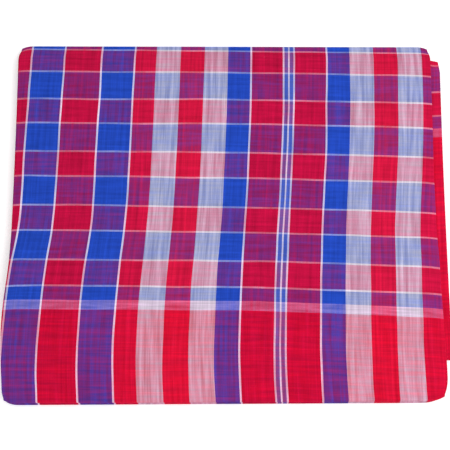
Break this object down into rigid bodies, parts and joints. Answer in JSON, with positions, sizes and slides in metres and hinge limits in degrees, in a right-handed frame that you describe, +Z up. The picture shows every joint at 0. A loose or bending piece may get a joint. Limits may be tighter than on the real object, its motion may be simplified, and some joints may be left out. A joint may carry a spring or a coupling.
{
  "type": "gamcha cloth",
  "caption": "Checked cotton gamcha, folded with both sides under, in half twice and tucked at the front, into a flat packet.",
  "frame": {"origin": "under the middle of the folded packet, on the surface that it lies on", "axes": "+X to the right along the packet's long side, +Y to its back fold, +Z up through the layers"},
  "size_m": [0.3918, 0.3276, 0.0136],
  "materials": {
    "checked_cotton": "thin plain-woven cotton, matt, in a red, blue and white check with a solid red border at each end"
  },
  "bodies": {
    "root": {"gamcha_cloth": "checked_cotton"}
  },
  "joints": []
}
